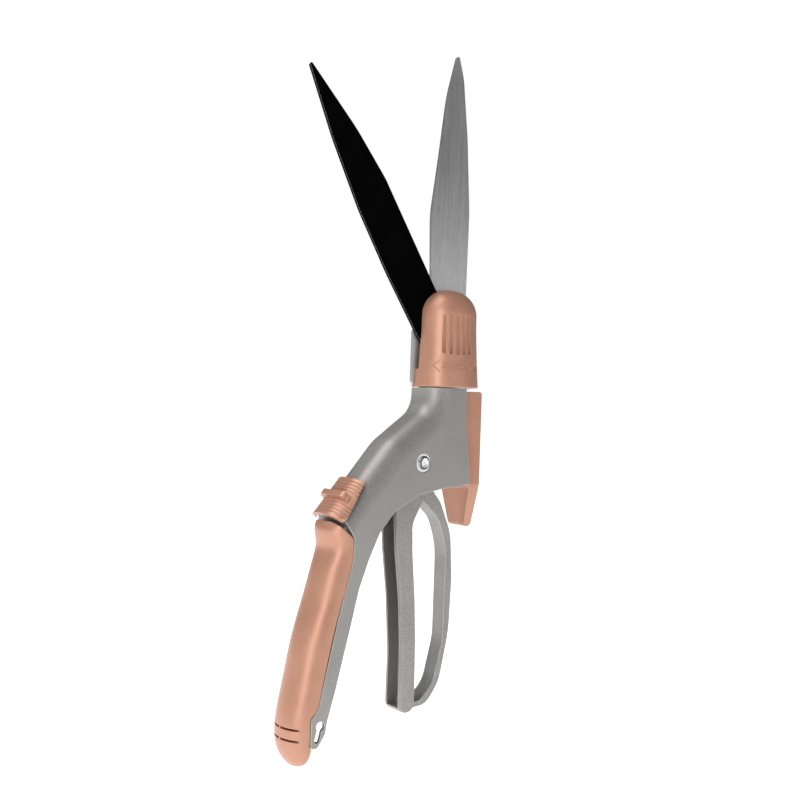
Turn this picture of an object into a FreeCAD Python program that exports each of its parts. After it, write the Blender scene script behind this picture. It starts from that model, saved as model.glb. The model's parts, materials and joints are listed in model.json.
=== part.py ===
import FreeCAD, Part
import math
import os

os.makedirs("parts", exist_ok=True)
doc = FreeCAD.newDocument("grass_shears")
V = FreeCAD.Vector

# ---------------------------------------------------------------- driving dimensions (mm, degrees)
# Drawing datum: the head's swivel axis is the Z axis, z = 0 is the top of the neck,
# +X is the catch side and the blades point up.  The part's own origin is the middle of the hang eye.
DIMENSIONS = {
    "head_turn": 15, "blade_open": 29, "lever_travel": 13.6,
    "body_width": 25, "body_round": 10, "cavity_width": 19, "rebate_width": 21.8,
    "core_width": 18, "channel_width": 15,
    "neck_front": 3.3, "neck_back": 15.6, "neck_bottom": 15,
    "index_bore": 9.4, "boss_radius": 8.3, "web_width": 16.6,
    "bush_outer": 7.1, "bush_inner": 5.55, "bush_top": 8.5,
    "spindle_radius": 5.5, "rod_radius": 2, "rod_bore": 2.05, "flange_radius": 13.8,
    "index_radius": 8.8, "index_depth": 0.9, "index_count": 24, "index_top": 3, "index_bottom": 7,
    "ring_radius": 8, "ring_groove": 5, "ring_top": 15.3, "ring_thick": 1,
    "lever_pivot_x": -22, "lever_pivot_z": -35, "lever_bolt_radius": 2.5, "lever_bush_outer": 4,
    "lever_width": 12, "strip_channel": 8.4, "guard_width": 8,
    "strip_round": 1.2,
    "fork_width": 15.8, "fork_gap": 11.8, "fork_pin_radius": 1.6,
    "catch_width": 21.2, "catch_inner": 17.2, "catch_pin_x": 7, "catch_pin_z": -21.5,
    "catch_pin_radius": 1.5, "catch_front": 15.1, "catch_rear": 3.9,
    "eye_x": -75.9, "eye_z": -147.3, "eye_radius": 2.1, "eye_slot": 1.3,
    "grip_width": 24.6,
    "slider_length": 20.8, "slider_thick": 2, "slider_gap": 0.3, "lock_travel": 5,
    "peg_x": -28.6, "peg_z": -54, "peg_radius": 1.5, "lock_bar_thick": 3,
    "blade_thick": 2, "blade_gap": 0.15, "blade_pivot_z": 21, "blade_pin_x": 10,
    "blade_pin_radius": 1.5, "blade_bolt_radius": 2.5, "blade_bush_outer": 4,
    "shell_wall": 1.6, "dome_top": 47.3, "boss_size": 2.9,
    "front_edge": 2.45, "rear_edge": 2.3, "head_base": 0.5,
}

sheet = doc.addObject("Spreadsheet::Sheet", "Dimensions")
for row, (alias, size) in enumerate(DIMENSIONS.items(), start=1):
    sheet.set(f"A{row}", alias)
    sheet.set(f"B{row}", str(size))
    sheet.setAlias(f"B{row}", alias)
doc.recompute()


def dim(alias):
    return float(sheet.get(alias))


# ---------------------------------------------------------------- places of the moving groups
EYE = (dim("eye_x"), dim("eye_z"))
DATUM = V(-EYE[0], 0, -EYE[1])
UP = V(0, 0, 1)
HANDLE_PLACE = FreeCAD.Placement(DATUM, FreeCAD.Rotation())
HEAD_PLACE = FreeCAD.Placement(DATUM, FreeCAD.Rotation(UP, -dim("head_turn")))
parts = []


def finish(thing, label, place=HANDLE_PLACE):
    """Name a sub-part, put it in its place and keep it for the export."""
    thing.Label = label
    thing.Placement = place
    parts.append(thing)
    return thing


# ---------------------------------------------------------------- drawing helpers
def corner_path(points):
    """Closed outline with rounded corners: each point is (u, v, corner radius)."""
    ends = []
    arcs = []
    count = len(points)
    for i, (u, v, radius) in enumerate(points):
        here = V(u, v, 0)
        before = V(*points[i - 1][:2], 0)
        after = V(*points[(i + 1) % count][:2], 0)
        to_before = (before - here).normalize()
        to_after = (after - here).normalize()
        half = to_before.getAngle(to_after) / 2
        if radius == 0 or abs(half - math.pi / 2) < 1e-4:
            ends.append((here, here))
            arcs.append(None)
            continue
        reach = radius / math.tan(half)
        start = here + to_before * reach
        stop = here + to_after * reach
        middle_way = (to_before + to_after).normalize()
        middle = here + middle_way * (radius / math.sin(half) - radius)
        ends.append((start, stop))
        arcs.append(Part.Arc(start, middle, stop))
    edges = []
    for i in range(count):
        if arcs[i]:
            edges.append(arcs[i])
        leave = ends[i][1]
        arrive = ends[(i + 1) % count][0]
        way = V(*points[(i + 1) % count][:2], 0) - V(*points[i][:2], 0)
        if (arrive - leave).dot(way) < -1e-6:
            raise ValueError(f"corners {i} and {i + 1} of an outline overlap at {points[i]}")
        if (arrive - leave).Length > 1e-6:
            edges.append(Part.LineSegment(leave, arrive))
    return edges


def circle_path(u, v, radius):
    return [Part.Circle(V(u, v, 0), UP, radius)]


def box_path(u0, v0, u1, v1, radius=0):
    return corner_path([(u0, v0, radius), (u1, v0, radius), (u1, v1, radius), (u0, v1, radius)])


def new_body(name):
    return doc.addObject("PartDesign::Body", name + "_body")


def sketch_on(body, plane, paths, level=0):
    """A sketch on one of the body's own origin planes, moved along the plane's axis to level."""
    sketch = body.newObject("Sketcher::SketchObject", body.Name + "_sketch")
    origin_plane = [f for f in body.Origin.OriginFeatures if f.Role == plane][0]
    sketch.AttachmentSupport = [(origin_plane, "")]
    sketch.MapMode = "FlatFace"
    # the XZ plane faces -Y, so a level along +Y is a negative offset
    offset = -level if plane == "XZ_Plane" else level
    sketch.AttachmentOffset = FreeCAD.Placement(V(0, 0, offset), FreeCAD.Rotation())
    for path in paths:
        sketch.addGeometry(path, False)
    return sketch


def set_length(feature, length, symmetric):
    if isinstance(length, str):
        feature.setExpression("Length", length)
    else:
        feature.Length = length
    if symmetric:
        feature.SideType = "Symmetric"


def pad_side(body, paths, length):
    """Side outline in the XZ plane, padded equally to both sides."""
    pad = body.newObject("PartDesign::Pad", body.Name + "_pad")
    pad.Profile = sketch_on(body, "XZ_Plane", paths)
    set_length(pad, length, True)
    return pad


def pad_plate(body, paths, level, length):
    """Outline in the XZ plane, from y = level to y = level + length."""
    pad = body.newObject("PartDesign::Pad", body.Name + "_pad")
    pad.Profile = sketch_on(body, "XZ_Plane", paths, level)
    set_length(pad, length, False)
    pad.Reversed = True
    return pad


def pad_up(body, paths, level, length):
    """Outline in the XY plane, from z = level upwards."""
    pad = body.newObject("PartDesign::Pad", body.Name + "_pad")
    pad.Profile = sketch_on(body, "XY_Plane", paths, level)
    set_length(pad, length, False)
    return pad


def cut_side(body, paths, length):
    """Pocket through the body's middle, equally to both sides of the XZ plane."""
    pocket = body.newObject("PartDesign::Pocket", body.Name + "_pocket")
    pocket.Profile = sketch_on(body, "XZ_Plane", paths)
    set_length(pocket, length, True)
    return pocket


def cut_down(body, paths, level, length):
    """Pocket from z = level downwards."""
    pocket = body.newObject("PartDesign::Pocket", body.Name + "_pocket")
    pocket.Profile = sketch_on(body, "XY_Plane", paths, level)
    set_length(pocket, length, False)
    return pocket


def cut_plate(body, paths, level, length):
    """Pocket in the XZ plane, from y = level to y = level + length."""
    pocket = body.newObject("PartDesign::Pocket", body.Name + "_pocket")
    pocket.Profile = sketch_on(body, "XZ_Plane", paths, level)
    set_length(pocket, length, False)
    return pocket


def cut_front(body, paths, level, length, symmetric=False):
    """Pocket in the YZ plane, from x = level towards -X, or equally to both sides of it."""
    pocket = body.newObject("PartDesign::Pocket", body.Name + "_pocket")
    pocket.Profile = sketch_on(body, "YZ_Plane", paths, level)
    set_length(pocket, length, symmetric)
    return pocket


def turn_about_z(body, paths, kind="Revolution"):
    """Half profile in the XZ plane turned about the Z axis."""
    feature = body.newObject("PartDesign::" + kind, body.Name + "_turn")
    sketch = sketch_on(body, "XZ_Plane", paths)
    feature.Profile = sketch
    feature.ReferenceAxis = (sketch, ["V_Axis"])
    feature.Angle = 360
    return feature


def round_edges(body, base, radius, wanted):
    """Fillet the edges of base that the test accepts."""
    doc.recompute()
    names = []
    for number, edge in enumerate(base.Shape.Edges, start=1):
        if wanted(edge):
            names.append(f"Edge{number}")
    fillet = body.newObject("PartDesign::Fillet", body.Name + "_fillet")
    fillet.Base = (base, names)
    if isinstance(radius, str):
        fillet.setExpression("Radius", radius)
    else:
        fillet.Radius = radius
    return fillet


def on_plane(edge, level):
    """Whether an edge lies flat at that distance from the middle plane, on either side."""
    return edge.BoundBox.YLength < 0.01 and abs(abs(edge.CenterOfMass.y) - level) < 0.01


def turned_pin(name, label, profile, place):
    """A turned piece: profile points (radius, height) about its own Z axis."""
    body = new_body(name)
    turn_about_z(body, [corner_path(profile)])
    return finish(body, label, place)


def hexagon_path(u, v, across_flats):
    reach = across_flats / math.sqrt(3)
    corners = [(u + reach * math.cos(k * math.pi / 3), v + reach * math.sin(k * math.pi / 3), 0)
               for k in range(6)]
    return corner_path(corners)


def capsule_path(start, stop, radius):
    """Outline of a bar with round ends, between two centres."""
    way = V(*stop, 0) - V(*start, 0)
    way.normalize()
    side = V(-way.y, way.x, 0) * radius
    first, last = V(*start, 0), V(*stop, 0)
    return [Part.LineSegment(first - side, last - side),
            Part.Arc(last - side, last + way * radius, last + side),
            Part.LineSegment(last + side, first + side),
            Part.Arc(first + side, first - way * radius, first - side)]


def group(label, shapes, place):
    """Several equal fasteners as one node of separate solids."""
    feature = doc.addObject("Part::Feature", label + "_group")
    feature.Shape = Part.makeCompound(shapes)
    return finish(feature, label, place)


def ring_path(inner, outer, low, high):
    return box_path(inner, low, outer, high)


def across(x, z, place=HANDLE_PLACE, y=0.0, flip=False):
    """Placement that lays a turned piece along Y at (x, y, z) of a group; its +Z looks to +Y."""
    angle = 90 if flip else -90
    return place.multiply(FreeCAD.Placement(V(x, y, z), FreeCAD.Rotation(V(1, 0, 0), angle)))


# ---------------------------------------------------------------- frame casting
BACK_NECK = (-dim("neck_back"), -9.3)
BACK_SHOULDER = (-38.5, -25)
BACK_END = (-66.5, -56.5)
# how far along the back slope the lock bar's neck reaches, with the slider at its lower end
NECK_SPAN = (7.5, 12)
# where the grip's edge runs on the side of the handle, and the handle's front edge, from top to tail
GRIP_LINE = [(-60.6, -68), (-60.6, -77), (-68.1, -102.4), (-74.2, -127.6), (-77, -140)]
FRONT_EDGE = [(-72.4, -146), (-68.4, -132.8), (-60.8, -104), (-57.4, -90.4), (-52.4, -77.6),
              (-46.7, -66), (-38.4, -56.9), (-23.6, -49.6), (-10.5, -47.4)]


def shifted(points, across_x, radius):
    return [(x + across_x, z, radius) for x, z in points]


def grip_edge(gap):
    """Edge of the casting that the grip cover meets, from the back down to the tail."""
    eye_x, eye_z = EYE
    edge = [(-60.6 - gap, -68, 4)] + shifted(GRIP_LINE[1:-1], -gap, 40)
    edge.append((GRIP_LINE[-1][0] - gap, GRIP_LINE[-1][1], 8))
    edge += [(eye_x - 4.6 - gap, eye_z + 3.5 + gap, 3), (eye_x - 4.6 - gap, eye_z - 4 - gap, 3),
             (-80.5 - gap, -156.5 - gap, 1.5)]
    return edge


def on_back(edge):
    """Whether an edge of a side face follows the back, from the neck down to the grip."""
    middle = edge.CenterOfMass
    along, out = to_slope(middle.x, middle.z)
    on_side = on_plane(edge, dim("body_width") / 2)
    return on_side and along > 0 and out > -7 and middle.x < 0.5 - dim("neck_back")


def frame_casting():
    body = new_body("frame_casting")
    eye_x, eye_z = EYE
    neck = [(dim("neck_front"), 0, 0), (-dim("neck_back"), 0, 0), (*BACK_NECK, 12),
            (*BACK_SHOULDER, 30), (*BACK_END, 0)]
    tail = [(-77, -156.5, 2), (-73.2, -151, 4)]
    corner = [(7.4, -45.8, 1), (dim("neck_front") + 0.4, -18.7, 3)]
    outline = neck + grip_edge(0) + tail + shifted(FRONT_EDGE, 0, 12) + corner
    side = pad_side(body, [corner_path(outline)], "Dimensions.body_width")

    round_edges(body, side, "Dimensions.body_round", on_back)
    core = shifted(GRIP_LINE, 3, 10) + [(-78.5, -156, 1), (-84.3, -156, 2)]
    core += shifted(GRIP_LINE[::-1], -5.2, 10) + [(-63, -62, 0), (-58, -62, 0)]
    pad_side(body, [corner_path(core)], "Dimensions.core_width")
    pad_up(body, [circle_path(0, 0, dim("boss_radius"))], -dim("neck_bottom"), 6.5)
    top = -dim("neck_bottom")
    cavity = [(30, top, 0), (-9.5, top, 3), (-35.5, -31, 12), (-58.5, -57.5, 4), (-56, -66.5, 4),
              (-40, -90, 0), (30, -60, 0)]
    cut_side(body, [corner_path(cavity)], "Dimensions.cavity_width")
    rebate = [(30, top, 0), (-0.5, top, 0), (1.8, -50, 0), (30, -50, 0)]
    cut_side(body, [corner_path(rebate)], "Dimensions.rebate_width")
    channel = [(-30, -64, 0), (-57, -64, 3)] + shifted(GRIP_LINE[1:], -3, 10)
    channel += [(-80.5, -153.5, 1), (-60, -153.5, 0)]
    cut_side(body, [corner_path(channel)], "Dimensions.channel_width")
    web = [(3, -18, 0), (9.5, -18, 1), (9.5, -33, 1), (6.5, -33, 0.5), (6.5, -25, 0), (3, -25, 0)]
    pad_side(body, [corner_path(web)], "Dimensions.web_width")
    cheek = box_path(-1, -25, 3.5, -18)
    pad_side(body, [cheek], "Dimensions.rebate_width")
    cut_down(body, [circle_path(0, 0, 2.6)], -18, 8)
    cut_down(body, [circle_path(0, 0, dim("index_bore"))], 0, "Dimensions.bush_top")
    cut_down(body, [circle_path(0, 0, dim("bush_outer"))], -8, 7.1)
    bolt = circle_path(dim("lever_pivot_x"), dim("lever_pivot_z"), dim("lever_bolt_radius"))
    cut_side(body, [bolt], 30)
    ring = circle_path(dim("lever_pivot_x"), dim("lever_pivot_z"), 4.5)
    cut_plate(body, [ring], -12.5, 0.8)
    cut_plate(body, [ring], 11.7, 0.8)
    cut_side(body, [circle_path(dim("catch_pin_x"), dim("catch_pin_z"), dim("catch_pin_radius"))], 17)
    cut_side(body, [box_path(eye_x - 3.3, eye_z - 7.4, eye_x + 15, eye_z + 4.5)], 22)
    cut_side(body, [capsule_path((eye_x, eye_z), (eye_x - 1.5, eye_z - 5.7), dim("eye_slot"))], 30)
    cut_side(body, [circle_path(eye_x, eye_z, dim("eye_radius"))], 30)
    cut_side(body, [lock_slot()], dim("lock_bar_thick") + 0.8)
    for z in GRIP_SCREWS:
        grip_screw_hole(body, z, 1.3)
        cut_front(body, [circle_path(0, z, 2.8)], line_at(z) + 3, 6.2)
    return finish(body, "frame_casting")


def lock_slot():
    """Slot in the back wall, in the handle's frame, that lets the lock bar slide."""
    low, high = NECK_SPAN[0] - 0.4, NECK_SPAN[1] + dim("lock_travel") + 0.4
    rise = math.radians(SLOPE_RISE)
    corners = []
    for s, n in ((low, 3), (high, 3), (high, -9), (low, -9)):
        corners.append((BACK_END[0] + s * math.cos(rise) - n * math.sin(rise),
                        BACK_END[1] + s * math.sin(rise) + n * math.cos(rise), 0))
    return corner_path(corners)


# heights of the grip's screws and of the slots across its tail
GRIP_SCREWS = [-84, -128]
TAIL_SLOTS = [-148.4, -153.2]


def line_at(z):
    """x of the grip's edge line at height z."""
    for (x0, z0), (x1, z1) in zip(GRIP_LINE, GRIP_LINE[1:]):
        if z1 <= z <= z0:
            return x0 + (x1 - x0) * (z0 - z) / (z0 - z1)


def grip_screw_hole(body, z, radius):
    start = line_at(z) - 2
    cut_front(body, [circle_path(0, z, radius)], start, 6.6)


# ---------------------------------------------------------------- grip cover and its screws
# (height z, edge line x, back x, half width) of the cover's D-shaped sections, from collar to tail
GRIP_SECTIONS = [(-56, -60.9, -67.2, 1), (-63, -60.9, -70.1, 1), (-67, -60.9, -70.2, 1),
                 (-72, -60.8, -69.3, 1), (-78, -61.2, -70.9, 1), (-95, -66.2, -76, 1),
                 (-112, -71, -81.4, 1), (-128.5, -74.7, -84.9, 1), (-145, -78.1, -88.1, 1),
                 (-153, -79.2, -88.4, 0.98), (-159, -79.6, -87.2, 0.9), (-163.5, -79.9, -84.9, 0.68),
                 (-166, -80.4, -82.6, 0.3)]


def grip_cover():
    body = new_body("grip_cover")
    sections = []
    for z, line, back, share in GRIP_SECTIONS:
        half = share * dim("grip_width") / 2
        deep = line - back
        if half <= deep:
            raise ValueError("a grip section must be wider than it is deep")
        oval = Part.Ellipse(V(line, half, 0), V(back, 0, 0), V(line, 0, 0))
        arc = Part.ArcOfEllipse(oval, 0, math.pi)
        edge = Part.LineSegment(V(line, -half, 0), V(line, half, 0))
        sections.append(sketch_on(body, "XY_Plane", [[arc, edge]], z))
    loft = body.newObject("PartDesign::AdditiveLoft", "grip_loft")
    loft.Profile = sections[0]
    loft.Sections = sections[1:]
    gap = 0.15
    ahead = [(-90, -50, 0), (-90, -60.6, 0), (-68.2, -60.6, 0)] + grip_edge(gap)
    ahead += [(-70, -156.5 - gap, 0), (-40, -156.5, 0), (-40, -50, 0)]
    cut_side(body, [corner_path(ahead)], 40)
    core = shifted(GRIP_LINE, 6, 10) + [(-75, -156.15, 1), (-84.45, -156.15, 2)]
    core += shifted(GRIP_LINE[::-1], -5.35, 10) + [(-63.2, -50, 0), (-50, -50, 0)]
    cut_side(body, [corner_path(core)], dim("core_width") + 0.1)
    for z in GRIP_SCREWS:
        grip_screw_hole(body, z, 1.3)
    for z in TAIL_SLOTS:
        slot = box_path(-95, z - 0.5, -84.6, z + 0.5)
        cut_plate(body, [slot], 0.4, 15)
        cut_plate(body, [slot], -15.4, 15)
    return finish(body, "grip_cover")


def grip_screws():
    shapes = []
    back = V(-1, 0, 0)
    for z in GRIP_SCREWS:
        seat = line_at(z) - 3.2
        head = Part.makeCylinder(2.6, 1.6, V(seat + 1.8, 0, z), back)
        shank = Part.makeCylinder(1.3, 5.6, V(seat + 0.3, 0, z), back)
        shapes.append(head.fuse(shank).removeSplitter())
    return group("grip_screws", shapes, HANDLE_PLACE)


# ---------------------------------------------------------------- neck bearing
def neck_bush():
    top, low = -8.0, -dim("neck_bottom")
    profile = ring_path(dim("bush_inner"), dim("bush_outer"), low, top)
    body = new_body("neck_bush")
    turn_about_z(body, [profile])
    return finish(body, "neck_bush")


def thrust_washer():
    body = new_body("thrust_washer")
    turn_about_z(body, [ring_path(9.6, 12.3, 0, 0.5)])
    return finish(body, "thrust_washer")


# ---------------------------------------------------------------- lever pivot
PIVOT = (dim("lever_pivot_x"), dim("lever_pivot_z"))


def lever_bolt():
    radius = dim("lever_bolt_radius")
    profile = [(0, -12.2, 0), (1.7, -12.2, 0), (2, -13.3, 0.1), (2.9, -13.3, 0.5), (3.4, -12.2, 0.2),
               (3.4, -12.1, 0), (radius, -12.1, 0), (radius, 13, 0.4), (0, 13, 0)]
    return turned_pin("lever_bolt", "lever_bolt", profile, across(*PIVOT))


def lever_bolt_washer():
    profile = [(2.6, -12.1, 0), (2.6, -11.7, 0), (4.3, -11.7, 0), (4.3, -12.1, 0.1)]
    return turned_pin("lever_bolt_washer", "lever_bolt_washer", profile, across(*PIVOT))


def lever_nut():
    body = new_body("lever_nut")
    outline = [hexagon_path(*PIVOT, 7), circle_path(*PIVOT, dim("lever_bolt_radius"))]
    pad_plate(body, outline, 11.7, 1.9)
    return finish(body, "lever_nut")


def return_spring():
    """Torsion spring beside the hub: a coil with one leg under the roof and one on the lever."""
    wire, coil, turns = 0.38, 5.2, 3
    pitch = 2.2 * wire
    helix = Part.Wire(Part.makeHelix(pitch, pitch * turns, coil).Edges)
    section = Part.Wire([Part.Circle(V(coil, 0, 0), V(0, 1, 0), wire).toShape()])
    spring = helix.makePipeShell([section], True, True)
    for height, way, length in ((0, -1, 15), (pitch * turns, 1, 14)):
        leg = Part.makeCylinder(wire, length, V(coil, 0, height), V(0, way, 0))
        spring = spring.fuse(leg)
    return group("return_spring", [spring], across(*PIVOT, y=-9.0))


def stop_pads():
    """Rubber blocks under the web that stop the fork arms when the handles are open."""
    shapes = []
    thick = dim("fork_width") / 2 - dim("fork_gap") / 2
    for near in (-dim("fork_width") / 2, dim("fork_gap") / 2):
        shapes.append(Part.makeBox(3, thick, 6.9, V(3.3, near, -31.9)))
    return group("stop_pads", shapes, HANDLE_PLACE)


# ---------------------------------------------------------------- lever
def on_strip(edge):
    """Whether an edge of the lever's side faces runs down the strip, below the fork."""
    return on_plane(edge, dim("lever_width") / 2) and edge.CenterOfMass.z < -60


def lever_casting():
    body = new_body("lever_casting")
    front = [(-21.8, -64, 10), (-21.2, -78, 40), (-19, -100, 80), (-17.9, -120, 80),
             (-17.4, -152.8, 4.4)]
    rear = [(-26.7, -152.4, 4.4), (-26.4, -125, 60), (-28.4, -98, 80),
            (-31.4, -76, 40), (-32.6, -58, 12)]
    strip = [(-29, -27.5, 6), (-13, -27.5, 5), (-11.6, -47, 4), (-16.4, -54.6, 1.5)] + front + rear
    blank = pad_side(body, [corner_path(strip)], "Dimensions.lever_width")
    round_edges(body, blank, "Dimensions.strip_round", on_strip)
    outer = [(-13, -44, 0), (-3.6, -54.8, 14), (3.4, -70, 25), (5, -92, 60), (3.9, -118, 60),
             (-1.6, -142, 20), (-9.5, -150.8, 8), (-19, -151.3, 0)]
    inner = [(-19, -148.6, 0), (-13, -148.5, 5), (-5.4, -142, 14), (0.4, -121, 40),
             (0.6, -76, 40), (-4.7, -62.5, 14), (-16, -52.5, 0)]
    pad_side(body, [corner_path(outer + inner)], "Dimensions.guard_width")
    wall = 2.2
    hollow = [(-45, -47.6, 0), (-24.6, -47.6, 2), (-21.8 - wall, -66, 10), (-21.2 - wall, -78, 40),
              (-19 - wall, -100, 80), (-17.9 - wall, -120, 80), (-17.6 - wall, -150, 3), (-45, -150, 0)]
    cut_side(body, [corner_path(hollow)], "Dimensions.strip_channel")
    arm = [box_path(-15.4, PIVOT[1] - 2.8, 5, PIVOT[1] + 2.8, 2.5)]
    half, gap = dim("fork_width") / 2, dim("fork_gap") / 2
    pad_plate(body, arm, -half, half - gap)
    pad_plate(body, arm, gap, half - gap)
    cut_side(body, [circle_path(*PIVOT, dim("lever_bush_outer"))], 30)
    cut_side(body, [circle_path(0, PIVOT[1], dim("fork_pin_radius"))], 30)
    cut_side(body, [circle_path(dim("peg_x"), dim("peg_z"), dim("peg_radius"))], 10)
    return finish(body, "lever_casting")


def tube(radius, bore, length, place):
    """Plain ring or, with no bore, a plain pin along +Z of its place."""
    shape = Part.makeCylinder(radius, length)
    if bore:
        shape = shape.cut(Part.makeCylinder(bore, length))
    shape.Placement = place
    return shape


def lever_bushes():
    shapes = []
    for side in (-1, 1):
        start = -5.9 if side < 0 else 0.4
        place = across(*PIVOT, FreeCAD.Placement(), start)
        shapes.append(tube(dim("lever_bush_outer"), dim("lever_bolt_radius") + 0.05, 5.5, place))
    return group("lever_bushes", shapes, HANDLE_PLACE)


def fork_pins():
    shapes = []
    for start in (-dim("fork_width") / 2, 3.8):
        place = across(0, PIVOT[1], FreeCAD.Placement(), start)
        shapes.append(tube(dim("fork_pin_radius"), 0, dim("fork_width") / 2 - 3.8, place))
    return group("fork_pins", shapes, HANDLE_PLACE)


def lock_peg():
    profile = box_path(0, -5, dim("peg_radius"), 5)
    body = new_body("lock_peg")
    turn_about_z(body, [profile])
    return finish(body, "lock_peg", across(dim("peg_x"), dim("peg_z")))


# ---------------------------------------------------------------- draw rod
def draw_rod():
    radius = dim("rod_radius")
    body = new_body("draw_rod")
    profile = [(0, -40.5, 0), (radius, -40.5, 0.4), (radius, -39.4, 0), (1.6, -39.4, 0), (1.6, -38.6, 0),
               (radius, -38.6, 0), (radius, 13.7, 0), (0, 13.7, 0)]
    turn_about_z(body, [corner_path(profile)])
    pad_up(body, [box_path(-2.5, -2.6, 2.5, 1.7, 0.3)], 8.6, 5.1)
    return finish(body, "draw_rod", HEAD_PLACE)


def rod_collar():
    radius = dim("rod_radius")
    low, high = PIVOT[1] - 3.5, PIVOT[1] + 3.5
    groove = dim("fork_pin_radius") + 0.35
    profile = [(radius, low, 0), (5.5, low, 0.4), (5.5, PIVOT[1] - groove, 0.2), (3.2, PIVOT[1] - groove, 0),
               (3.2, PIVOT[1] + groove, 0), (5.5, PIVOT[1] + groove, 0.2), (5.5, high, 0.4), (radius, high, 0)]
    return turned_pin("rod_collar", "rod_collar", profile, HEAD_PLACE)


def rod_clip():
    return turned_pin("rod_clip", "rod_clip", [(1.6, -39.4, 0), (3.6, -39.4, 0), (3.6, -38.6, 0),
                                               (1.6, -38.6, 0)], HEAD_PLACE)


PIN_REST = (dim("blade_pin_x"),
            dim("blade_pivot_z") + dim("blade_pin_x") * math.tan(math.radians(dim("blade_open") / 2)))


def draw_link():
    body = new_body("draw_link")
    holes = [circle_path(*PIN_REST, dim("blade_pin_radius"))]
    pad_plate(body, [capsule_path((0, 11), PIN_REST, 2.1)] + holes, -4.4, 1.8)
    return finish(body, "draw_link", HEAD_PLACE)


def drive_pin():
    profile = [(0, -4.7, 0), (1.5, -4.7, 0.3), (1.5, -0.4, 0.2), (0, -0.4, 0)]
    return turned_pin("drive_pin", "drive_pin", profile, across(*PIN_REST, HEAD_PLACE))


# ---------------------------------------------------------------- head: spindle and index ring
PLATE_SCREWS = [(-8.5, 8.5), (8.5, 8.5)]
HEAD_SCREW_CIRCLE = 11.4
HEAD_SCREW_ANGLES = [40, 140, 220, 320]


def head_screw_places():
    return [(HEAD_SCREW_CIRCLE * math.cos(math.radians(a)), HEAD_SCREW_CIRCLE * math.sin(math.radians(a)))
            for a in HEAD_SCREW_ANGLES]


def swivel_spindle():
    body = new_body("swivel_spindle")
    tube_radius, wide, groove = dim("spindle_radius"), dim("flange_radius"), dim("ring_groove")
    top = -dim("ring_top")
    low = top - dim("ring_thick")
    profile = [(dim("rod_bore"), -17.6, 0), (tube_radius, -17.6, 0.3), (tube_radius, low, 0), (groove, low, 0),
               (groove, top, 0), (tube_radius, top, 0), (tube_radius, 0.6, 0), (wide, 0.6, 0.2),
               (wide, 3, 0.3), (dim("rod_bore"), 3, 0)]
    turn_about_z(body, [corner_path(profile)])
    pad_plate(body, [box_path(-11, 2.8, 11, 14, 1)], 2.15, 2.2)
    cut_down(body, [circle_path(0, 0, 2.7)], 14, 11)
    for place in PLATE_SCREWS:
        cut_plate(body, [circle_path(*place, 1.25)], 2, 3)
    for place in head_screw_places():
        cut_down(body, [circle_path(*place, 1.2)], 4, 6)
        cut_down(body, [circle_path(*place, 2.05)], 1.95, 3)
    return finish(body, "swivel_spindle", HEAD_PLACE)


def index_ring():
    body = new_body("index_ring")
    count = int(dim("index_count"))
    radius, depth = dim("index_radius"), dim("index_depth")
    corners = []
    for tooth in range(count):
        for share, reach in ((0, radius - depth), (0.24, radius), (0.76, radius)):
            turn = 2 * math.pi * (tooth + share) / count
            corners.append((reach * math.cos(turn), reach * math.sin(turn), 0))
    low = -dim("index_bottom")
    outline = [corner_path(corners), circle_path(0, 0, dim("spindle_radius"))]
    pad_up(body, outline, low, dim("index_bottom") - dim("index_top"))
    return finish(body, "index_ring", HEAD_PLACE)


def retaining_ring():
    top = -dim("ring_top")
    profile = ring_path(dim("ring_groove"), dim("ring_radius"), top - dim("ring_thick"), top)
    body = new_body("retaining_ring")
    turn_about_z(body, [profile])
    return finish(body, "retaining_ring", HEAD_PLACE)


# ---------------------------------------------------------------- head: blades
PIVOT_HEIGHT = dim("blade_pivot_z")


def fixed_blade():
    body = new_body("fixed_blade")
    outline = [(-17.6, 1.2, 2), (-17.6, 27, 3), (-8.6, 44, 10), (-9.8, 84, 60), (-6.3, 112, 120),
               (-3, 142, 100), (2.2, 164.2, 0.8), (5.6, 151, 40), (8.6, 122, 160), (10.8, 86, 80),
               (10.2, 40, 20), (11.5, 30, 6), (11.5, 3.1, 1), (3.4, 3.1, 0.5), (3.4, 14.2, 2), (-3.4, 14.2, 2),
               (-3.4, 3.1, 0.5), (-14.4, 3.1, 0.5), (-14.4, 1.2, 0.5)]
    holes = [circle_path(0, PIVOT_HEIGHT, dim("blade_bolt_radius"))]
    holes += [circle_path(*place, 1.25) for place in PLATE_SCREWS]
    pad_plate(body, [corner_path(outline)] + holes, dim("blade_gap"), "Dimensions.blade_thick")
    return finish(body, "fixed_blade", HEAD_PLACE)


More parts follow.
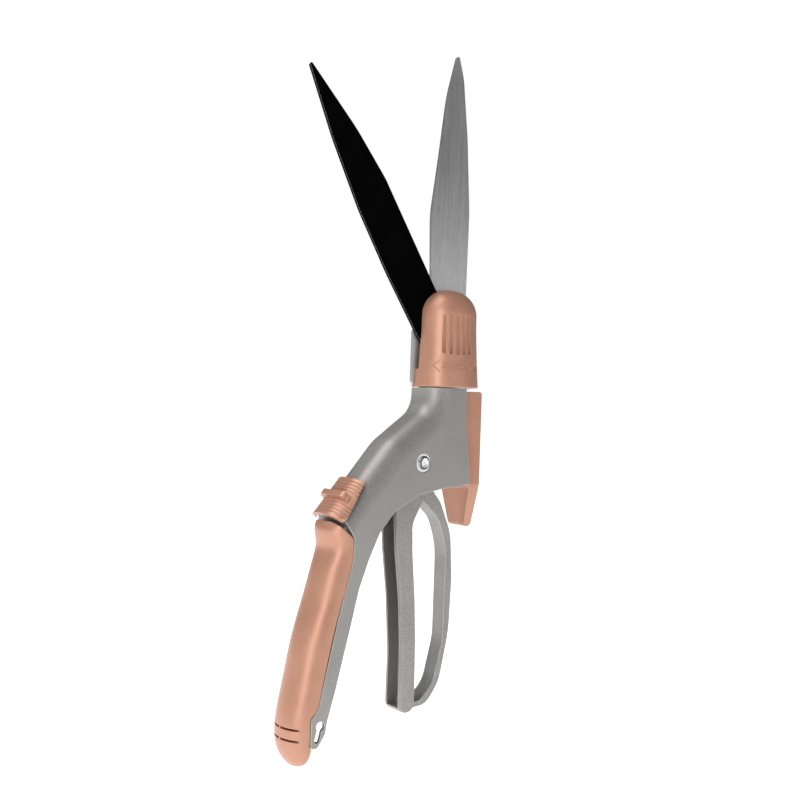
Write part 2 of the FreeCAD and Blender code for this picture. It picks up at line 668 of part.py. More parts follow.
def moving_blade():
    """Drawn closed about its own pivot, then turned open."""
    body = new_body("moving_blade")
    slope = math.radians(dim("blade_open") / 2)

    def fork(reach, side):
        return (reach * math.cos(slope) + side * math.sin(slope), -reach * math.sin(slope) + side * math.cos(slope))

    slot = dim("blade_pin_radius") + 0.3
    prong = slot + 1.9
    right = [(*fork(11.9, prong), 0.8), (9.8, 10, 6), (8.3, 24.5, 0.8), (6.4, 25.6, 0.8), (6.3, 84, 40),
             (3.4, 110, 120)]
    left = [(-4.1, 148.4, 0.7), (-9.5, 111, 120), (-12.6, 76, 100), (-13.2, 44, 60), (-12.3, 6.5, 4),
            (-5.5, -5.5, 4)]
    tail = [(1.5, -6.8, 3), (*fork(11.9, -prong), 0.8), (*fork(11.9, -slot), 0.4), (*fork(7.8, -slot), 1),
            (*fork(7.8, slot), 1), (*fork(11.9, slot), 0.4)]
    holes = [circle_path(0, 0, dim("blade_bush_outer"))]
    level = -dim("blade_gap") - dim("blade_thick")
    pad_plate(body, [corner_path(right + left + tail)] + holes, level, "Dimensions.blade_thick")
    return finish(body, "moving_blade", blade_place())


def blade_place():
    swing = FreeCAD.Rotation(V(0, 1, 0), -dim("blade_open"))
    return HEAD_PLACE.multiply(FreeCAD.Placement(V(0, 0, PIVOT_HEIGHT), swing))


def moving_blade_bush():
    low, high = -dim("blade_gap") - dim("blade_thick"), -dim("blade_gap")
    profile = [(dim("blade_bolt_radius") + 0.05, low, 0), (dim("blade_bush_outer"), low, 0),
               (dim("blade_bush_outer"), high, 0), (dim("blade_bolt_radius") + 0.05, high, 0)]
    return turned_pin("moving_blade_bush", "moving_blade_bush", profile, across(0, PIVOT_HEIGHT, HEAD_PLACE))


def blade_pivot_bolt():
    radius = dim("blade_bolt_radius")
    profile = [(0, -5, 0), (3.6, -5, 0.8), (3.6, -2.6, 0), (radius, -2.6, 0), (radius, 6.6, 0.4), (0, 6.6, 0)]
    return turned_pin("blade_pivot_bolt", "blade_pivot_bolt", profile, across(0, PIVOT_HEIGHT, HEAD_PLACE))


def blade_wave_washer():
    profile = [(2.55, -2.6, 0), (2.55, -2.3, 0), (4.6, -2.3, 0), (4.6, -2.6, 0)]
    return turned_pin("blade_wave_washer", "blade_wave_washer", profile,
                      across(0, PIVOT_HEIGHT, HEAD_PLACE))


def blade_pivot_nut():
    body = new_body("blade_pivot_nut")
    outline = [hexagon_path(0, PIVOT_HEIGHT, 8), circle_path(0, PIVOT_HEIGHT, dim("blade_bolt_radius"))]
    pad_plate(body, outline, dim("blade_gap") + dim("blade_thick"), 3.4)
    return finish(body, "blade_pivot_nut", HEAD_PLACE)


def blade_plate_screws():
    shapes = []
    for x, z in PLATE_SCREWS:
        head = tube(2.6, 0, 1.5, across(x, z, FreeCAD.Placement(), dim("blade_gap") - 1.5))
        shank = tube(1.25, 0, 4, across(x, z, FreeCAD.Placement(), dim("blade_gap")))
        shapes.append(head.fuse(shank).removeSplitter())
    return group("blade_plate_screws", shapes, HEAD_PLACE)


# ---------------------------------------------------------------- head: shells
# where the upright grooves stand round the front shell, in degrees from its middle
GROOVE_ANGLES = [-29, -16, -3, 9.5, 22]


def shell_blank(body):
    wall = dim("shell_wall")
    base = dim("head_base")
    top = dim("dome_top")
    outer = [(16.2, base, 0.5), (15.4, 11.7, 40), (14.6, 28, 30), (14.4, top, 12.5), (0, top, 0)]
    inner = [(0, top - wall, 0), (14.4 - wall, top - wall, 11), (14.6 - wall, 28, 30),
             (15.4 - wall, 11.7, 40), (16.2 - wall, base, 0)]
    turn_about_z(body, [corner_path(outer + inner)])
    for x, y in head_screw_places():
        pad_up(body, [circle_path(x, y, dim("boss_size"))], 4.6, 6.4)
        cut_down(body, [circle_path(x, y, 1.2)], 9.4, 6)


def head_front_shell():
    body = new_body("head_front_shell")
    shell_blank(body)
    side = dim("rear_edge") - 0.1
    edge = -dim("front_edge")
    cut_plate(body, [box_path(-25, -1, 25, 50)], side, 30)
    window = [(-25, 9, 0), (0, 9, 0), (0, 36, 0), (25, 36, 0), (25, 50, 0), (-25, 50, 0)]
    cut_plate(body, [corner_path(window)], edge, side - edge)
    cut_plate(body, [box_path(-25, -1, 0, 9)], 0, side)
    for angle in GROOVE_ANGLES:
        turn = math.radians(angle)
        x = 14.9 * math.sin(turn)
        surface = 14.9 * math.cos(turn)
        reach = 1.2 * math.cos(2 * turn)
        slot = capsule_path((x, 18 - reach), (x, 33.4 + reach), 0.8)
        cut_plate(body, [slot], -25, 25 - surface + 0.8)
    return finish(body, "head_front_shell", HEAD_PLACE)


def head_rear_shell():
    body = new_body("head_rear_shell")
    shell_blank(body)
    cut_plate(body, [box_path(-25, -1, 25, 50)], -25, 25 + dim("rear_edge"))
    return finish(body, "head_rear_shell", HEAD_PLACE)


def head_screws():
    shapes = []
    for x, y in head_screw_places():
        head = tube(2, 0, 1.2, FreeCAD.Placement(V(x, y, 0.7), FreeCAD.Rotation()))
        shank = tube(1.2, 0, 6.5, FreeCAD.Placement(V(x, y, 1.9), FreeCAD.Rotation()))
        shapes.append(head.fuse(shank).removeSplitter())
    return group("head_screws", shapes, HEAD_PLACE)


# ---------------------------------------------------------------- rotation catch
def rotation_catch():
    body = new_body("rotation_catch")
    front, rear = dim("catch_front"), dim("catch_rear")
    outline = [(rear, -1.2, 1), (front, -1.2, 1.5), (front, -51, 10), (front - 0.4, -67, 2), (10.2, -67, 2),
               (8.6, -47.6, 1.5), (5.6, -46.6, 0.6), (rear + 0.3, -20, 3)]
    pad_side(body, [corner_path(outline)], "Dimensions.catch_width")
    half = dim("catch_width") / 2
    for side in (-1, 1):
        taper = [(side * (half + 0.01), -46, 0), (side * 5.2, -68, 0), (side * 20, -68, 0), (side * 20, -46, 0)]
        cut_front(body, [corner_path(taper)], 0, 60, True)
    cut_side(body, [box_path(-10, -46, front - 2.1, -2.6, 0.5)], "Dimensions.catch_inner")
    cut_down(body, [circle_path(0, 0, 9.3)], 1, 4)
    socket = circle_path(dim("catch_pin_x"), dim("catch_pin_z"), dim("catch_pin_radius") + 0.05)
    cut_side(body, [socket], 19.8)
    return finish(body, "rotation_catch")


def catch_tooth():
    inner = dim("catch_front") - 2.1
    tip = dim("index_radius") - 0.6
    body = new_body("catch_tooth")
    wedge = [(tip, -0.15, 0), (inner, -1.5, 0), (inner, 1.5, 0), (tip, 0.15, 0)]
    pad_up(body, [corner_path(wedge)], -6.4, 2.8)
    return finish(body, "catch_tooth")


def catch_pin():
    body = new_body("catch_pin")
    turn_about_z(body, [box_path(0, -9.7, dim("catch_pin_radius"), 9.7)])
    return finish(body, "catch_pin", across(dim("catch_pin_x"), dim("catch_pin_z")))


def catch_spring():
    """Small pressure spring between the casting's web and the catch's front wall."""
    length = dim("catch_front") - 2.1 - 9.5 - 0.1
    wire, coil, turns = 0.3, 1.9, 4
    pitch = (length - 2 * wire) / turns
    helix = Part.Wire(Part.makeHelix(pitch, pitch * turns, coil).Edges)
    section = Part.Wire([Part.Circle(V(coil, 0, 0), V(0, 1, 0), wire).toShape()])
    spring = helix.makePipeShell([section], True, True)
    turn = FreeCAD.Rotation(V(0, 1, 0), 90)
    place = HANDLE_PLACE.multiply(FreeCAD.Placement(V(9.5 + wire + 0.05, 0, -30), turn))
    return group("catch_spring", [spring], place)


# ---------------------------------------------------------------- lock slider, in the slope's own frame
SLOPE_RISE = math.degrees(math.atan2(BACK_SHOULDER[1] - BACK_END[1], BACK_SHOULDER[0] - BACK_END[0]))


def slope_place():
    """Local X runs up the back's slope from its lower end, local Z points out of the back."""
    turn = FreeCAD.Rotation(V(0, 1, 0), -SLOPE_RISE)
    return HANDLE_PLACE.multiply(FreeCAD.Placement(V(BACK_END[0], 0, BACK_END[1]), turn))


def to_slope(x, z):
    rise = math.radians(SLOPE_RISE)
    across_x, up = x - BACK_END[0], z - BACK_END[1]
    return (across_x * math.cos(rise) + up * math.sin(rise), -across_x * math.sin(rise) + up * math.cos(rise))


# the slider's lower end along the slope, its half width, its slanted lower edge and its fine grooves
SLIDER_START = -3
SLIDER_REACH = 12.2
SLIDER_EDGE = [(40, 2.2, 0), (-10, -4, 0)]
SLIDER_GROOVES = [1.6, 3.3, 5, 6.7, 13.4, 15.1, 16.8, 18.5]


def saddle_section(grow):
    """Cross-section over the rounded back, grown by an even thickness."""
    half = dim("body_width") / 2 + grow
    depth = 15
    radius = dim("body_round") + grow
    return corner_path([(-half, -depth, 0), (half, -depth, 0), (half, grow, radius), (-half, grow, radius)])


def lock_slider():
    body = new_body("lock_slider")
    gap, thick = dim("slider_gap"), dim("slider_thick")
    length = dim("slider_length")
    pad = body.newObject("PartDesign::Pad", "slider_pad")
    pad.Profile = sketch_on(body, "YZ_Plane", [saddle_section(gap + thick)], SLIDER_START)
    set_length(pad, length, False)
    cut_front(body, [saddle_section(gap)], SLIDER_START + length + 5, length + 10)
    cut_side(body, [corner_path([(-10, -20, 0), (40, -20, 0)] + SLIDER_EDGE)], 60)
    plan = box_path(SLIDER_START, -SLIDER_REACH, SLIDER_START + length, SLIDER_REACH, 3.2)
    cut_down(body, [box_path(-20, -20, 40, 20), plan], 20, 40)
    shallow = [box_path(-20, -20, 20, 20), saddle_section(gap + thick - 0.3)]
    for start in SLIDER_GROOVES:
        cut_front(body, shallow, SLIDER_START + start + 0.7, 0.7)
    rib_middle = SLIDER_START + length / 2
    rib = body.newObject("PartDesign::Pad", "rib_pad")
    top = gap + thick + 2
    rib_path = [(-9.5, 0.5, 0), (9.5, 0.5, 0), (9.5, top, 3), (-9.5, top, 3)]
    rib.Profile = sketch_on(body, "YZ_Plane", [corner_path(rib_path)], rib_middle - 1.4)
    set_length(rib, 2.8, False)
    cut_side(body, [box_path(NECK_SPAN[0], -1, NECK_SPAN[1], 1.4)], dim("lock_bar_thick") + 0.1)
    return finish(body, "lock_slider", slope_place())


def lock_peg_closed():
    """Where the lever's lock peg comes to with the handles closed, in the slope's frame."""
    angle = math.radians(dim("lever_travel"))
    dx, dz = dim("peg_x") - PIVOT[0], dim("peg_z") - PIVOT[1]
    x = PIVOT[0] + dx * math.cos(angle) + dz * math.sin(angle)
    z = PIVOT[1] - dx * math.sin(angle) + dz * math.cos(angle)
    return to_slope(x, z)


def lock_bar():
    """Flat hook that the slider moves over the lever's peg when the handles are closed."""
    body = new_body("lock_bar")
    s_closed, n = lock_peg_closed()
    s = s_closed - dim("lock_travel")
    jaw = dim("peg_radius") + 0.35
    back = s - jaw
    tip = s + 1.2
    lip = 0.85
    outline = [(tip, n - jaw - lip, 0.4), (tip, n - jaw, 0.3), (back, n - jaw, 1.4), (back, n + jaw, 1.4),
               (tip, n + jaw, 0.4), (tip, n + jaw + 2, 1), (NECK_SPAN[1], -10, 3), (NECK_SPAN[1], 1.4, 0),
               (NECK_SPAN[0], 1.4, 0), (NECK_SPAN[0], -10, 3), (back - 2, n - jaw - lip, 1.5)]
    pad_side(body, [corner_path(outline)], "Dimensions.lock_bar_thick")
    return finish(body, "lock_bar", slope_place())


frame_casting()
grip_cover()
grip_screws()
neck_bush()
thrust_washer()
lever_bolt()
lever_bolt_washer()
lever_nut()
return_spring()
stop_pads()
lever_casting()
lever_bushes()
fork_pins()
lock_peg()
draw_rod()
rod_collar()
rod_clip()
draw_link()
drive_pin()
swivel_spindle()
index_ring()
retaining_ring()
fixed_blade()
moving_blade()
moving_blade_bush()
blade_pivot_bolt()
blade_wave_washer()
blade_pivot_nut()
blade_plate_screws()
head_front_shell()
head_rear_shell()
head_screws()
rotation_catch()
catch_tooth()
catch_pin()
catch_spring()
lock_slider()
lock_bar()

doc.recompute()

for thing in doc.Objects:
    if "Invalid" in thing.State or "Error" in thing.State:
        raise RuntimeError(f"{thing.Name}: {thing.State}")
for thing in parts:
    if thing.Shape.isNull() or not thing.Shape.isValid():
        raise RuntimeError(f"{thing.Label} has no valid shape")
    if thing.isDerivedFrom("PartDesign::Body") and len(thing.Shape.Solids) != 1:
        raise RuntimeError(f"{thing.Label} is in {len(thing.Shape.Solids)} pieces")
    thing.Shape.exportStep(f"parts/{thing.Label}.step")
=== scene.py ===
import json
import math

import bmesh
import bpy
from mathutils import Matrix, Vector


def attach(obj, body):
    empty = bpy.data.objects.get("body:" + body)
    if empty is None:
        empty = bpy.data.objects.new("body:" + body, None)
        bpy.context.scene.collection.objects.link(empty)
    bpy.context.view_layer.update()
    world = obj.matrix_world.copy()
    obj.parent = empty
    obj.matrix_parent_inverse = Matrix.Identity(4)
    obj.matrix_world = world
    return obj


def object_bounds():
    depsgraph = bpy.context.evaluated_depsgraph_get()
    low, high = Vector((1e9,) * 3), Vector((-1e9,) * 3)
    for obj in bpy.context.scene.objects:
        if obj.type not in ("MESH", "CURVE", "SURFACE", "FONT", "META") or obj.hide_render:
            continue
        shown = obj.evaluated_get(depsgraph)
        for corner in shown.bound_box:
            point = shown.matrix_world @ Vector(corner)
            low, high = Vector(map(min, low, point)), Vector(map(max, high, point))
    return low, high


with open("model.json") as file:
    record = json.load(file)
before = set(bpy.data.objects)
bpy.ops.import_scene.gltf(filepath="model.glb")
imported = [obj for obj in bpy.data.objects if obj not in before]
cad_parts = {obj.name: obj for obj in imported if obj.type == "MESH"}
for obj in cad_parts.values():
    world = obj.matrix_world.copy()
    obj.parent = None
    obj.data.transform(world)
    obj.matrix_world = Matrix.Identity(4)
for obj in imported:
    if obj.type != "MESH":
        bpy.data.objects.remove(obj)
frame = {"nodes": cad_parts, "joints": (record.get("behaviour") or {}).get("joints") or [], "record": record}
CAD_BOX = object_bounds()
NODES = frame["nodes"]
MM = 0.001
BEVEL_SAMPLES = 4

# The head turns about this upright line, and its front faces this way at rest.
SWIVEL = Vector(next(j for j in frame["joints"] if j["name"] == "head_swivel")["pos_m"])
HEAD_TURN = math.radians(-15)
HEAD_ACROSS = Vector((math.cos(HEAD_TURN), math.sin(HEAD_TURN), 0))
HEAD_FRONT = Vector((math.sin(HEAD_TURN), -math.cos(HEAD_TURN), 0))


# ---------------------------------------------------------------- materials
class Shader:
    """A material whose nodes are added with short calls."""

    def __init__(self, name):
        self.material = bpy.data.materials.new(name)
        self.material.use_nodes = True
        self.tree = self.material.node_tree
        self.surface = self.tree.nodes["Principled BSDF"]
        self.place = self.tree.nodes.new("ShaderNodeTexCoord").outputs["Object"]

    def add(self, kind, **values):
        node = self.tree.nodes.new(kind)
        for key, value in values.items():
            setattr(node, key, value)
        return node

    def link(self, source, target):
        self.tree.links.new(source, target)

    def stretched(self, scale):
        mapping = self.add("ShaderNodeMapping")
        mapping.inputs["Scale"].default_value = scale
        self.link(self.place, mapping.inputs["Vector"])
        return mapping.outputs["Vector"]

    def noise(self, scale, detail=3.0, rough=0.55, stretch=None):
        node = self.add("ShaderNodeTexNoise")
        node.inputs["Scale"].default_value = scale
        node.inputs["Detail"].default_value = detail
        node.inputs["Roughness"].default_value = rough
        self.link(self.stretched(stretch) if stretch else self.place, node.inputs["Vector"])
        return node.outputs["Fac"]

    def ramp(self, source, stops):
        node = self.add("ShaderNodeValToRGB")
        elements = node.color_ramp.elements
        while len(elements) < len(stops):
            elements.new(0.5)
        for element, (place, colour) in zip(elements, stops):
            element.position = place
            element.color = (*colour, 1) if len(colour) == 3 else (colour[0],) * 3 + (1,)
        self.link(source, node.inputs["Fac"])
        return node.outputs["Color"]

    def remap(self, source, low, high, new_low, new_high):
        node = self.add("ShaderNodeMapRange")
        ends = {"From Min": low, "From Max": high, "To Min": new_low, "To Max": new_high}
        for name, value in ends.items():
            node.inputs[name].default_value = value
        self.link(source, node.inputs["Value"])
        return node.outputs["Result"]

    def blend(self, share, first, second):
        """Two colours mixed by a share; each may be a colour, a number or a node's output."""
        node = self.add("ShaderNodeMix", data_type="RGBA", blend_type="MIX")
        sockets = [s for s in node.inputs if s.name == "Factor" and s.type == "VALUE"]
        colours = [s for s in node.inputs if s.type == "RGBA"]
        for socket, value in ((sockets[0], share), (colours[0], first), (colours[1], second)):
            if isinstance(value, bpy.types.NodeSocket):
                self.link(value, socket)
            elif isinstance(value, (int, float)):
                socket.default_value = value
            else:
                socket.default_value = (*value, 1)
        return next(s for s in node.outputs if s.type == "RGBA")

    def edges(self, radius):
        """0 on open faces, towards 1 within that distance of a sharp edge."""
        rounded = self.add("ShaderNodeBevel", samples=BEVEL_SAMPLES)
        rounded.inputs["Radius"].default_value = radius
        geometry = self.add("ShaderNodeNewGeometry")
        dot = self.add("ShaderNodeVectorMath", operation="DOT_PRODUCT")
        self.link(rounded.outputs["Normal"], dot.inputs[0])
        self.link(geometry.outputs["Normal"], dot.inputs[1])
        return self.remap(dot.outputs["Value"], 0.99, 0.8, 0, 1)

    def bump(self, height, distance, strength=1.0, soften=0.0, under=None):
        node = self.add("ShaderNodeBump")
        node.inputs["Distance"].default_value = distance
        node.inputs["Strength"].default_value = strength
        self.link(height, node.inputs["Height"])
        if under is not None:
            self.link(under, node.inputs["Normal"])
        elif soften:
            rounded = self.add("ShaderNodeBevel", samples=BEVEL_SAMPLES)
            rounded.inputs["Radius"].default_value = soften
            self.link(rounded.outputs["Normal"], node.inputs["Normal"])
        return node.outputs["Normal"]

    def finish(self, colour, metallic, roughness, normal, specular=0.5):
        self.link(colour, self.surface.inputs["Base Color"])
        self.surface.inputs["Metallic"].default_value = metallic
        self.surface.inputs["Specular IOR Level"].default_value = specular
        if isinstance(roughness, bpy.types.NodeSocket):
            self.link(roughness, self.surface.inputs["Roughness"])
        else:
            self.surface.inputs["Roughness"].default_value = roughness
        if normal is not None:
            self.link(normal, self.surface.inputs["Normal"])
        return self.material


def metallic_plastic():
    """Copper-coloured plastic with fine metal flakes, handled smooth on its edges."""
    s = Shader("copper_plastic")
    cloud = s.noise(60, 4)
    flake = s.noise(5200, 2, 0.7)
    base = s.ramp(cloud, [(0.3, (0.425, 0.205, 0.132)), (0.7, (0.490, 0.248, 0.168))])
    flaked = s.blend(s.remap(flake, 0.48, 0.68, 0, 0.30), base, (0.70, 0.42, 0.31))
    lightened_edges = s.blend(s.remap(s.edges(0.0005), 0, 1, 0, 0.35), flaked, (0.66, 0.40, 0.30))
    normal = s.bump(flake, 0.00003, 0.6, soften=0.0004)
    return s.finish(lightened_edges, 0.4, s.remap(cloud, 0.3, 0.7, 0.36, 0.44), normal)


def speckled_casting():
    """Silver-grey enamel over a die casting, with a fine sparkling grain and edges lightened partly as
    rubbed paint and partly as a painted highlight.
    """
    s = Shader("grey_casting")
    cloud = s.noise(35, 4)
    grain = s.noise(3600, 2, 0.65)
    base = s.ramp(cloud, [(0.3, (0.215, 0.204, 0.194)), (0.7, (0.262, 0.250, 0.238))])
    sparkle = s.blend(s.remap(grain, 0.46, 0.66, 0, 0.42), base, (0.60, 0.59, 0.575))
    pits = s.blend(s.remap(grain, 0.42, 0.30, 0, 0.5), sparkle, (0.12, 0.115, 0.11))
    # edges lightened partly as rubbed paint and partly as a painted highlight where the edges catch the
    # light
    lightened_edges = s.blend(s.remap(s.edges(0.0007), 0, 1, 0, 0.75), pits, (0.70, 0.69, 0.68))
    peel = s.noise(1100, 2)
    rough = s.bump(grain, 0.00005, 0.7, soften=0.0005)
    normal = s.bump(peel, 0.00006, 0.5, under=rough)
    return s.finish(lightened_edges, 0.45, s.remap(grain, 0.3, 0.7, 0.34, 0.5), normal)


def brushed_blade():
    """Steel brushed along the blade, with a painted reflection that makes it brighter towards the head."""
    s = Shader("blade_steel")
    streak = s.noise(1, 3, 0.6, stretch=(9000, 9000, 160))
    broad = s.noise(1, 2, 0.5, stretch=(900, 900, 26))
    height = s.add("ShaderNodeSeparateXYZ")
    s.link(s.place, height.inputs["Vector"])
    # painted reflection: lighter near the head, darker along the middle and a little lighter at the tip,
    # following how the light falls on the blade
    painted_reflection_by_height = s.ramp(s.remap(height.outputs["Z"], 0.19, 0.31, 0, 1),
                  [(0.0, (0.62,)), (0.3, (0.40,)), (0.55, (0.27,)), (0.9, (0.27,)), (1.0, (0.34,))])
    lined = s.blend(s.remap(streak, 0.35, 0.65, 0, 0.5), painted_reflection_by_height, (0.15, 0.15, 0.153))
    washed = s.blend(s.remap(broad, 0.4, 0.7, 0, 0.25), lined, (0.52, 0.52, 0.52))
    normal = s.bump(streak, 0.00002, 0.5, soften=0.0002)
    return s.finish(washed, 0.85, s.remap(streak, 0.3, 0.7, 0.30, 0.44), normal)


def coated_blade():
    """Black non-stick coating, bare on the ground cutting bevel."""
    s = Shader("black_coating")
    grain = s.noise(2600, 3, 0.6)
    cloud = s.noise(80, 3)
    base = s.ramp(cloud, [(0.3, (0.0008,)), (0.7, (0.0014,))])
    lightened_edges = s.blend(s.remap(s.edges(0.0004), 0.35, 1, 0, 0.7), base, (0.42, 0.42, 0.43))
    normal = s.bump(grain, 0.00002, 0.5)
    return s.finish(lightened_edges, 0.0, s.remap(cloud, 0.3, 0.7, 0.6, 0.72), normal, 0.01)


def plated(name, colour, roughness, scale):
    """Plated or machined metal with fine turning marks."""
    s = Shader(name)
    mark = s.noise(scale, 3, 0.6)
    cloud = s.noise(200, 3)
    darker = tuple(0.82 * c for c in colour)
    base = s.ramp(cloud, [(0.3, darker), (0.7, colour)])
    lightened_edges = s.blend(s.remap(s.edges(0.0002), 0, 1, 0, 0.4), base, (0.86, 0.86, 0.87))
    normal = s.bump(mark, 0.00001, 0.6, soften=0.0002)
    return s.finish(lightened_edges, 1.0, s.remap(mark, 0.3, 0.7, roughness * 0.8, roughness * 1.2), normal)


# radius of the ring round the lever's bolt, in metres
RIVET_REACH = 0.0045


def rivet():
    """Plated bolt head with a bright rim, a dark ring of painted shade where a recessed groove would lie in
    shadow, and a bright middle.
    """
    s = Shader("rivet")
    pivot = next(j for j in frame["joints"] if j["name"] == "lever_squeeze")["pos_m"]
    offset = s.add("ShaderNodeVectorMath", operation="SUBTRACT")
    s.link(s.place, offset.inputs[0])
    offset.inputs[1].default_value = pivot
    flat = s.add("ShaderNodeVectorMath", operation="MULTIPLY")
    s.link(offset.outputs["Vector"], flat.inputs[0])
    flat.inputs[1].default_value = (1, 0, 1)
    reach = s.add("ShaderNodeVectorMath", operation="LENGTH")
    s.link(flat.outputs["Vector"], reach.inputs[0])
    rings = s.remap(reach.outputs["Value"], 0, RIVET_REACH, 0, 1)
    # the dark band between the bright rim and the bright middle is painted shade standing in for a recessed
    # groove
    base = s.ramp(rings, [(0.0, (0.85,)), (0.46, (0.85,)), (0.52, (0.10,)), (0.66, (0.12,)),
                          (0.72, (0.80,)), (1.0, (0.80,))])
    mark = s.noise(3000, 3, 0.6)
    normal = s.bump(mark, 0.00001, 0.6, soften=0.0002)
    return s.finish(base, 0.9, s.remap(mark, 0.3, 0.7, 0.2, 0.3), normal)


def moulded(name, colour, roughness):
    """Plain moulded nylon or rubber with a faint grain."""
    s = Shader(name)
    grain = s.noise(1800, 3, 0.6)
    cloud = s.noise(120, 3)
    base = s.ramp(cloud, [(0.3, tuple(0.85 * c for c in colour)), (0.7, colour)])
    normal = s.bump(grain, 0.00003, 0.6, soften=0.0002)
    return s.finish(base, 0.0, s.remap(grain, 0.3, 0.7, roughness * 0.9, roughness * 1.1), normal)


FINISHES = {
    "grey_casting": speckled_casting(),
    "copper_plastic": metallic_plastic(),
    "blade_steel": brushed_blade(),
    "black_coating": coated_blade(),
    "nickel": plated("nickel", (0.80, 0.80, 0.81), 0.16, 3000),
    "zinc_steel": plated("zinc_steel", (0.55, 0.56, 0.58), 0.34, 3500),
    "spindle_alloy": plated("spindle_alloy", (0.58, 0.58, 0.59), 0.42, 2200),
    "spring_steel": plated("spring_steel", (0.38, 0.38, 0.39), 0.30, 4000),
    "bronze": plated("bronze", (0.55, 0.36, 0.15), 0.38, 2500),
    "nylon": moulded("nylon", (0.72, 0.70, 0.64), 0.5),
    "rubber": moulded("rubber", (0.02, 0.02, 0.02), 0.7),
}

# nodes whose finish shows more than their slot's plain one
SPECIAL = {"lever_bolt": rivet()}

for entry in frame["record"]["subparts"]:
    mesh = NODES[entry["node"]].data
    mesh.materials.clear()
    mesh.materials.append(SPECIAL.get(entry["node"]) or FINISHES[entry["material_slot"]])


# ---------------------------------------------------------------- raised turning mark on the head
MARK_HEIGHT = 10.5
BEAD = 0.24
BEAD_LIFT = 0.07


def shell_radius(z):
    """Outer radius of the head's shell at height z above the neck, in millimetres."""
    return 16.2 - (z - 0.5) * 0.8 / 11.2


def wrapped(point):
    """A flat point (degrees round the head, height, lift), in millimetres, laid on the shell."""
    degrees, z, lift = point
    turn = math.radians(degrees)
    radius = (shell_radius(z) + lift) * MM
    sideways = HEAD_ACROSS * radius * math.sin(turn)
    forwards = HEAD_FRONT * radius * math.cos(turn)
    return SWIVEL + sideways + forwards + Vector((0, 0, z * MM))


def stroke(corners, closed):
    """Points of a line through flat corners, close enough together to follow the shell."""
    ends = corners[1:] + (corners[:1] if closed else [])
    points = []
    for (a0, z0), (a1, z1) in zip(corners, ends):
        steps = max(2, int(max(abs(a1 - a0) / 2, abs(z1 - z0) * 2)))
        points += [(a0 + (a1 - a0) * k / steps, z0 + (z1 - z0) * k / steps) for k in range(steps)]
    return points if closed else points + [corners[-1]]


def oval(middle, across, tall, start=0, turn=360):
    """Points of an oval arc round a flat point, by angle in degrees."""
    steps = max(6, int(abs(turn) / 18))
    turns = [math.radians(start + turn * k / steps) for k in range(steps + 1)]
    return [(middle[0] + across * math.cos(a), middle[1] + tall * math.sin(a)) for a in turns]


def turning_mark():
    """Raised beads: a left arrow, three numerals, a degree ring and a right arrow."""
    z = MARK_HEIGHT
    strokes = []
    for side in (-1, 1):
        arrow = [(side * 35.5, z + 2.7), (side * 48.5, z), (side * 35.5, z - 2.7)]
        strokes.append((stroke(arrow, False), False))
        strokes.append((stroke([(side * 30, z - 1.3), (side * 25, z - 1.3), (side * 25, z + 1.3),
                                (side * 30, z + 1.3)], True), True))
    three = oval((-14, z + 1), 4, 1.05, 150, -240) + oval((-14, z - 1), 4.4, 1.1, 90, -240)
    six = oval((-1, z + 0.4), 4.2, 1.8, 60, 120) + oval((-1, z - 0.9), 4.2, 1.15, 180, 360)
    strokes += [(three, False), (six, False), (oval((11.5, z), 4.2, 2.1)[:-1], True)]
    strokes.append((oval((19.5, z + 3.4), 2.6, 0.75)[:-1], True))
    curve = bpy.data.curves.new("turning_mark", "CURVE")
    curve.dimensions = "3D"
    curve.bevel_depth = BEAD * MM
    curve.bevel_resolution = 2
    curve.use_fill_caps = True
    for points, closed in strokes:
        spline = curve.splines.new("POLY")
        spline.points.add(len(points) - 1)
        spline.use_cyclic_u = closed
        for target, (degrees, height) in zip(spline.points, points):
            target.co = (*wrapped((degrees, height, BEAD_LIFT)), 1)
    shaped = bpy.data.objects.new("turning_mark_curve", curve)
    bpy.context.scene.collection.objects.link(shaped)
    bpy.context.view_layer.update()
    graph = bpy.context.evaluated_depsgraph_get()
    mesh = bpy.data.meshes.new_from_object(shaped.evaluated_get(graph))
    bpy.data.objects.remove(shaped)
    mark = bpy.data.objects.new("turning_mark", mesh)
    bpy.context.scene.collection.objects.link(mark)
    for polygon in mesh.polygons:
        polygon.use_smooth = True
    mesh.materials.clear()
    mesh.materials.append(FINISHES["copper_plastic"])
    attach(mark, "head")


turning_mark()


# ---------------------------------------------------------------- floor, light and camera
FLOOR_DROP = 0.03
FLOOR_REACH = 6


def floor():
    mesh = bpy.data.meshes.new("floor")
    shape = bmesh.new()
    level = CAD_BOX[0][2] - FLOOR_DROP
    bmesh.ops.create_circle(shape, cap_ends=True, segments=96, radius=FLOOR_REACH,
                            matrix=Matrix.Translation((SWIVEL.x, 0, level)))
    shape.to_mesh(mesh)
    shape.free()
    disc = bpy.data.objects.new("floor", mesh)
    bpy.context.scene.collection.objects.link(disc)
    s = Shader("floor_paint")
    base = s.ramp(s.noise(3, 2), [(0.3, (0.9,)), (0.7, (0.92,))])
    mesh.materials.append(s.finish(base, 0.0, 0.9, None, 0.1))
    s.surface.inputs["Emission Color"].default_value = (1, 1, 1, 1)
    s.surface.inputs["Emission Strength"].default_value = 0.95


CAMERA_AZIMUTH = math.radians(39)
TO_CAMERA = Vector((-math.sin(CAMERA_AZIMUTH), -math.cos(CAMERA_AZIMUTH), 0))
TO_RIGHT = Vector((math.cos(CAMERA_AZIMUTH), -math.sin(CAMERA_AZIMUTH), 0))
UP = Vector((0, 0, 1))


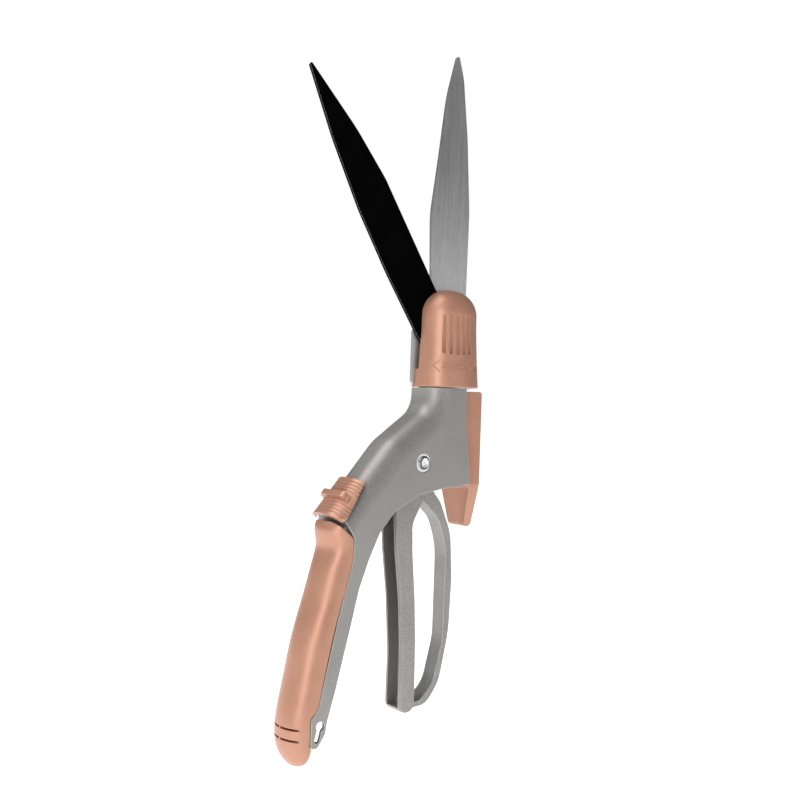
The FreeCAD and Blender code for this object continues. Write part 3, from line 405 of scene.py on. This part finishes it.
def softbox(name, azimuth, height, distance, size, power):
    """An area light round the object: azimuth in degrees from the camera, to its right."""
    turn = math.radians(azimuth)
    middle = Vector((SWIVEL.x, 0, 0.14))
    way = TO_CAMERA * math.cos(turn) + TO_RIGHT * math.sin(turn)
    lamp = bpy.data.lights.new(name, "AREA")
    lamp.shape = "RECTANGLE"
    lamp.size, lamp.size_y = size
    lamp.energy = power
    holder = bpy.data.objects.new(name, lamp)
    holder.location = middle + way * distance + UP * height
    holder.rotation_euler = (middle - holder.location).to_track_quat("-Z", "Y").to_euler()
    bpy.context.scene.collection.objects.link(holder)


# strength of the even light round the object; the backdrop behind it stays white
AMBIENT = 0.27


def studio():
    world = bpy.data.worlds.new("studio")
    world.use_nodes = True
    tree = world.node_tree
    ambient = tree.nodes["Background"]
    ambient.inputs["Color"].default_value = (1, 1, 1, 1)
    ambient.inputs["Strength"].default_value = AMBIENT
    backdrop = tree.nodes.new("ShaderNodeBackground")
    backdrop.inputs["Color"].default_value = (1, 1, 1, 1)
    seen = tree.nodes.new("ShaderNodeLightPath")
    chosen = tree.nodes.new("ShaderNodeMixShader")
    tree.links.new(seen.outputs["Is Camera Ray"], chosen.inputs["Fac"])
    tree.links.new(ambient.outputs["Background"], chosen.inputs[1])
    tree.links.new(backdrop.outputs["Background"], chosen.inputs[2])
    tree.links.new(chosen.outputs["Shader"], tree.nodes["World Output"].inputs["Surface"])
    bpy.context.scene.world = world
    softbox("key_light", -27, 0.1, 1.3, (0.2, 1.6), 9)
    softbox("top_light", -75, 1.2, 0.7, (0.9, 0.9), 11)
    softbox("fill_light", 50, 0.4, 1.5, (1.0, 1.0), 1.2)


def camera():
    lens = bpy.data.cameras.new("camera")
    lens.lens = 45
    lens.sensor_width = 36
    lens.clip_start = 0.01
    holder = bpy.data.objects.new("camera", lens)
    lean = math.radians(1.8)
    place = SWIVEL + Vector((-0.32244, -0.36426, -0.00626))
    axes = Matrix((TO_RIGHT, UP, TO_CAMERA)).transposed().to_4x4()
    holder.matrix_world = Matrix.Translation(place) @ axes @ Matrix.Rotation(lean, 4, "Z")
    bpy.context.scene.collection.objects.link(holder)
    bpy.context.scene.camera = holder


floor()
studio()
camera()
bpy.context.scene.view_settings.view_transform = "Standard"
